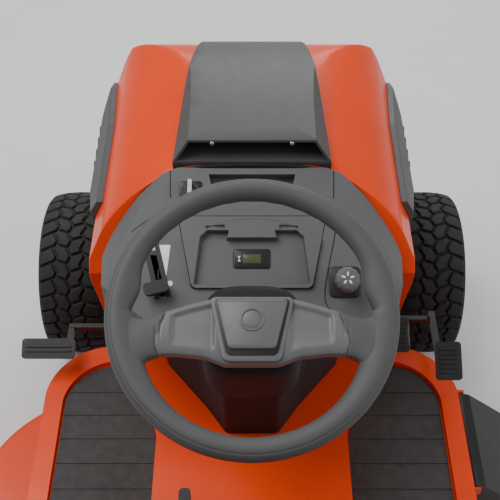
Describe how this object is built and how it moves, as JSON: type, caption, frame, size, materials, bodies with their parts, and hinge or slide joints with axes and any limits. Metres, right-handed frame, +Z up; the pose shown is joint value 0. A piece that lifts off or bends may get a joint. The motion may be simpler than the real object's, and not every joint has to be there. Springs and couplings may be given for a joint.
{
  "type": "lawn tractor",
  "caption": "Ride-on lawn tractor with a steering wheel, a tilting hood, foot pedals and a belt-driven mower deck slung under a rail frame.",
  "frame": {"origin": "on the ground, under the middle of the machine", "axes": "+Y forwards, +X to the operator's right, +Z up"},
  "size_m": [1.1319, 1.75, 0.9901],
  "materials": {
    "orange_paint": "glossy coat",
    "black_paint": "satin coat",
    "grey_plastic": "fine grain",
    "dark_plastic": "fine grain",
    "black_plastic": "smooth",
    "steel": "machined",
    "cast": "as cast",
    "alloy": "die cast",
    "tyre": "treaded",
    "rubber": "matt",
    "rim_paint": "glossy coat",
    "seat_cover": "stitched cover",
    "lens": "clear",
    "tank": "translucent look"
  },
  "bodies": {
    "chassis": {"battery": "dark_plastic", "dash_center_panel": "grey_plastic", "dash_console": "grey_plastic", "dash_pedestal": "dark_plastic", "drive_belt": "rubber", "engine_block": "alloy", "engine_shroud": "dark_plastic", "footrest_mats": "rubber", "frame_crossmembers": "black_paint", "frame_rails": "black_paint", "front_bumper": "black_paint", "fuel_tank": "tank", "hour_meter": "black_plastic", "ignition_switch": "black_plastic", "mower_belt": "rubber", "muffler": "black_paint", "rear_fender": "orange_paint", "transaxle_case": "alloy"},
    "hood": {"hood_shell": "orange_paint", "hood_cowl": "grey_plastic", "hood_side_panels": "grey_plastic", "front_grille": "dark_plastic", "headlight_lenses": "lens"},
    "steering_wheel": {"steering_wheel_rim": "rubber", "steering_wheel_spokes": "grey_plastic", "steering_hub_cover": "grey_plastic", "steering_shaft": "steel"},
    "pinion": {"steering_pinion": "steel"},
    "sector": {"sector_gear": "steel"},
    "drag_link": {"drag_link": "steel"},
    "tie_rod": {"tie_rod": "steel"},
    "front_axle": {"front_axle_beam": "cast"},
    "spindle_left": {"spindle_left": "black_paint"},
    "spindle_right": {"spindle_right": "black_paint"},
    "front_wheel_left": {"front_tyre_left": "tyre", "front_rim_left": "rim_paint"},
    "front_wheel_right": {"front_tyre_right": "tyre", "front_rim_right": "rim_paint"},
    "rear_wheel_left": {"rear_tyre_left": "tyre", "rear_rim_left": "rim_paint"},
    "rear_wheel_right": {"rear_tyre_right": "tyre", "rear_rim_right": "rim_paint"},
    "crankshaft": {"crankshaft": "steel"},
    "transaxle_pulley": {"transaxle_pulley": "steel"},
    "seat": {"seat_pan": "black_paint", "seat_cushion": "seat_cover", "seat_backrest": "seat_cover"},
    "throttle": {"throttle_lever": "black_plastic"},
    "blade_switch": {"blade_switch_knob": "grey_plastic"},
    "key": {"ignition_key": "steel"},
    "brake_pedal": {"brake_pedal": "black_paint"},
    "forward_pedal": {"forward_pedal": "black_paint"},
    "reverse_pedal": {"reverse_pedal": "black_paint"},
    "cruise_lever": {"cruise_lever": "black_plastic"},
    "deck": {"deck_shell": "orange_paint"},
    "deflector": {"deck_deflector": "black_plastic"},
    "blade_left": {"blade_left": "steel"},
    "blade_right": {"blade_right": "steel"},
    "lift_lever": {"deck_lift_lever": "black_paint"},
    "fuel_cap": {"fuel_cap": "black_plastic"}
  },
  "joints": [
    {"name": "hood_tilt", "type": "hinge", "parent": "chassis", "child": "hood", "pos_m": [0, 0.836, 0.405], "axis": [-1, 0, 0], "range_deg": [0, 60]},
    {"name": "steering_turn", "type": "hinge", "parent": "chassis", "child": "steering_wheel", "pos_m": [0, -0.01, 0.915], "axis": [0, -0.342, 0.9397], "range_deg": [-225, 225]},
    {"name": "pinion_turn", "type": "hinge", "parent": "chassis", "child": "pinion", "pos_m": [0, 0.17744, 0.3], "axis": [0, 0, 1], "range_deg": [-226, 226]},
    {"name": "sector_turn", "type": "hinge", "parent": "chassis", "child": "sector", "pos_m": [0.07375, 0.17744, 0.261], "axis": [0, 0, 1], "range_deg": [-38.5, 38.5]},
    {"name": "axle_rock", "type": "hinge", "parent": "chassis", "child": "front_axle", "pos_m": [0, 0.67, 0.225], "axis": [0, 1, 0], "range_deg": [-4, 4]},
    {"name": "spindle_left_turn", "type": "hinge", "parent": "front_axle", "child": "spindle_left", "pos_m": [-0.3, 0.67, 0.225], "axis": [0, 0, 1], "range_deg": [-38.5, 38.5]},
    {"name": "spindle_right_turn", "type": "hinge", "parent": "front_axle", "child": "spindle_right", "pos_m": [0.3, 0.67, 0.225], "axis": [0, 0, 1], "range_deg": [-38.5, 38.5]},
    {"name": "drag_link_swing", "type": "hinge", "parent": "spindle_left", "child": "drag_link", "pos_m": [-0.3, 0.6, 0.245], "axis": [0, 0, 1], "range_deg": [-38.5, 38.5]},
    {"name": "tie_rod_swing", "type": "hinge", "parent": "spindle_left", "child": "tie_rod", "pos_m": [-0.3, 0.6, 0.23], "axis": [0, 0, 1], "range_deg": [-38.5, 38.5]},
    {"name": "front_wheel_left_spin", "type": "hinge", "parent": "spindle_left", "child": "front_wheel_left", "pos_m": [-0.4, 0.67, 0.19], "axis": [1, 0, 0], "continuous": true},
    {"name": "front_wheel_right_spin", "type": "hinge", "parent": "spindle_right", "child": "front_wheel_right", "pos_m": [0.4, 0.67, 0.19], "axis": [1, 0, 0], "continuous": true},
    {"name": "rear_wheel_left_spin", "type": "hinge", "parent": "chassis", "child": "rear_wheel_left", "pos_m": [-0.385, -0.56, 0.25], "axis": [1, 0, 0], "continuous": true},
    {"name": "rear_wheel_right_spin", "type": "hinge", "parent": "chassis", "child": "rear_wheel_right", "pos_m": [0.385, -0.56, 0.25], "axis": [1, 0, 0], "continuous": true},
    {"name": "crank_spin", "type": "hinge", "parent": "chassis", "child": "crankshaft", "pos_m": [0, 0.51, 0.3], "axis": [0, 0, 1], "continuous": true},
    {"name": "transaxle_pulley_spin", "type": "hinge", "parent": "chassis", "child": "transaxle_pulley", "pos_m": [0, -0.5, 0.31], "axis": [0, 0, 1], "continuous": true},
    {"name": "seat_tilt", "type": "hinge", "parent": "chassis", "child": "seat", "pos_m": [0, -0.33, 0.556], "axis": [-1, 0, 0], "range_deg": [0, 35]},
    {"name": "throttle_swing", "type": "hinge", "parent": "chassis", "child": "throttle", "pos_m": [-0.157, 0.26324, 0.67113], "axis": [-0.9703, -0.2156, -0.1098], "range_deg": [0, 44]},
    {"name": "blade_switch_pull", "type": "slide", "parent": "chassis", "child": "blade_switch", "axis": [0, -0.454, 0.891], "range_m": [0, 0.012]},
    {"name": "key_turn", "type": "hinge", "parent": "chassis", "child": "key", "pos_m": [-0.102, 0.348, 0.78166], "axis": [0, -0.454, 0.891], "range_deg": [0, 90]},
    {"name": "brake_pedal_press", "type": "hinge", "parent": "chassis", "child": "brake_pedal", "pos_m": [-0.165, 0.236, 0.336], "axis": [-1, 0, 0], "range_deg": [0, 20], "stiffness_Nm_per_rad": 20, "springref_deg": -11.46},
    {"name": "forward_pedal_press", "type": "hinge", "parent": "chassis", "child": "forward_pedal", "pos_m": [0.165, 0.236, 0.336], "axis": [-1, 0, 0], "range_deg": [0, 20], "stiffness_Nm_per_rad": 20, "springref_deg": -11.46},
    {"name": "reverse_pedal_press", "type": "hinge", "parent": "chassis", "child": "reverse_pedal", "pos_m": [0.178, 0.236, 0.336], "axis": [-1, 0, 0], "range_deg": [0, 20], "stiffness_Nm_per_rad": 20, "springref_deg": -11.46},
    {"name": "cruise_lever_swing", "type": "hinge", "parent": "chassis", "child": "cruise_lever", "pos_m": [-0.112, -0.04, 0.374], "axis": [1, 0, 0], "range_deg": [-18, 18]},
    {"name": "deck_lift", "type": "slide", "parent": "chassis", "child": "deck", "axis": [0, 0, 1], "range_m": [0, 0.05], "deforming": ["mower_belt"]},
    {"name": "deflector_fold", "type": "hinge", "parent": "deck", "child": "deflector", "pos_m": [0.452, 0.235, 0.156], "axis": [0, -1, 0], "range_deg": [0, 55]},
    {"name": "blade_left_spin", "type": "hinge", "parent": "deck", "child": "blade_left", "pos_m": [-0.315, 0.105, 0.12], "axis": [0, 0, 1], "continuous": true},
    {"name": "blade_right_spin", "type": "hinge", "parent": "deck", "child": "blade_right", "pos_m": [0.195, 0.105, 0.12], "axis": [0, 0, 1], "continuous": true},
    {"name": "lift_lever_pull", "type": "hinge", "parent": "chassis", "child": "lift_lever", "pos_m": [0.256, -0.33, 0.318], "axis": [1, 0, 0], "range_deg": [0, 25.2]},
    {"name": "fuel_cap_turn", "type": "hinge", "parent": "chassis", "child": "fuel_cap", "pos_m": [-0.232, -0.766, 0.55], "axis": [0, 0, 1], "range_deg": [0, 90]}
  ],
  "couplings": [
    {"joint": "pinion_turn", "follows": "steering_turn", "ratio": 1},
    {"joint": "sector_turn", "follows": "steering_turn", "ratio": 0.16901},
    {"joint": "spindle_left_turn", "follows": "steering_turn", "ratio": 0.16901},
    {"joint": "spindle_right_turn", "follows": "steering_turn", "ratio": 0.16901},
    {"joint": "drag_link_swing", "follows": "steering_turn", "ratio": -0.16901},
    {"joint": "tie_rod_swing", "follows": "steering_turn", "ratio": -0.16901},
    {"joint": "transaxle_pulley_spin", "follows": "crank_spin", "ratio": 0.9},
    {"joint": "blade_left_spin", "follows": "crank_spin", "ratio": 1.0926},
    {"joint": "blade_right_spin", "follows": "crank_spin", "ratio": 1.0926},
    {"joint": "lift_lever_pull", "follows": "deck_lift", "rad_per_m": 8.75}
  ]
}
